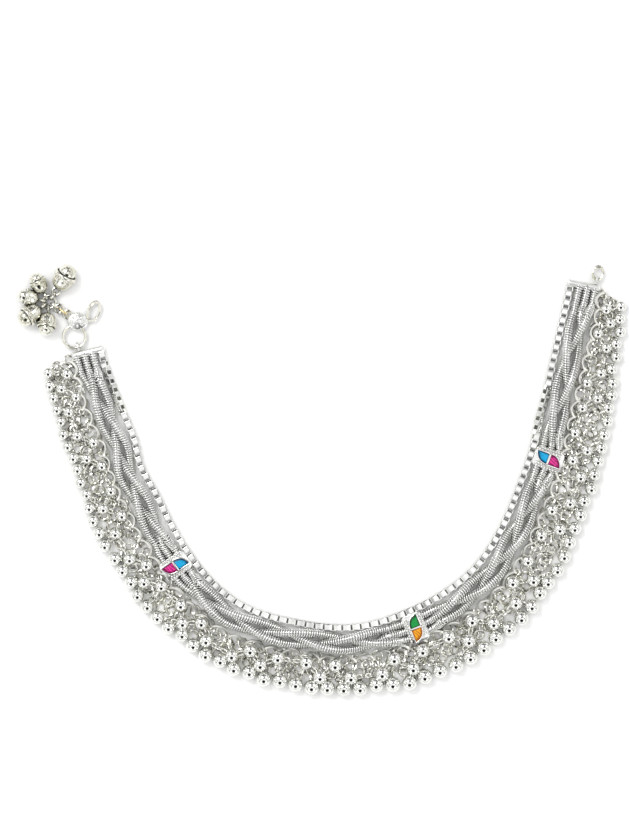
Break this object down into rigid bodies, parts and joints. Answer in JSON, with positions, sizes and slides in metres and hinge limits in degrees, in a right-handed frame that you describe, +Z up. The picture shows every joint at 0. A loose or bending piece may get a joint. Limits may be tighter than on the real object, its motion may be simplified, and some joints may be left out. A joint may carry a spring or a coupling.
{
  "type": "anklet",
  "caption": "Silver payal anklet lying open: box chain, plaited coil strands, enamel plates, a fringe of round bells, an S-hook and a tassel of cup bells",
  "frame": {"origin": "centre of the bounding box on the surface that the anklet lies on", "axes": "+Z up from the surface, +X along the greatest extent from the hook end to the ring end, +Y toward the open side of the U"},
  "size_m": [0.1832, 0.1304, 0.007],
  "materials": {
    "silver": "bright polished silver, faintly yellow in the hollows",
    "coil_silver": "polished silver wire wound in fine ribs",
    "gilt_ring": "gilt or tarnished yellow wire",
    "enamel_blue": "glossy cyan-blue enamel",
    "enamel_pink": "glossy pink enamel over engraved ridges",
    "enamel_green": "glossy green enamel",
    "enamel_orange": "glossy orange-yellow enamel over engraved ridges"
  },
  "bodies": {
    "root": {"box_chain": "silver", "coil_strand_a": "coil_silver", "coil_strand_b": "coil_silver", "coil_strand_c": "coil_silver", "enamel_plate_left": "silver", "enamel_left_inner": "enamel_blue", "enamel_left_outer": "enamel_pink", "enamel_plate_middle": "silver", "enamel_middle_inner": "enamel_green", "enamel_middle_outer": "enamel_orange", "enamel_plate_right": "silver", "enamel_right_inner": "enamel_blue", "enamel_right_outer": "enamel_pink", "ghungroo_fringe_left": "silver", "ghungroo_fringe_right": "silver", "end_plate_hook": "silver", "end_plate_ring": "silver", "hook": "silver", "gilt_ring": "gilt_ring", "jump_ring_flat": "silver", "jump_ring_standing": "silver", "bell_ring": "silver", "jump_ring_bell": "silver", "bell_1": "silver", "bell_2": "silver", "bell_3": "silver", "bell_4": "silver", "bell_5": "silver", "end_ring": "silver"}
  },
  "joints": []
}
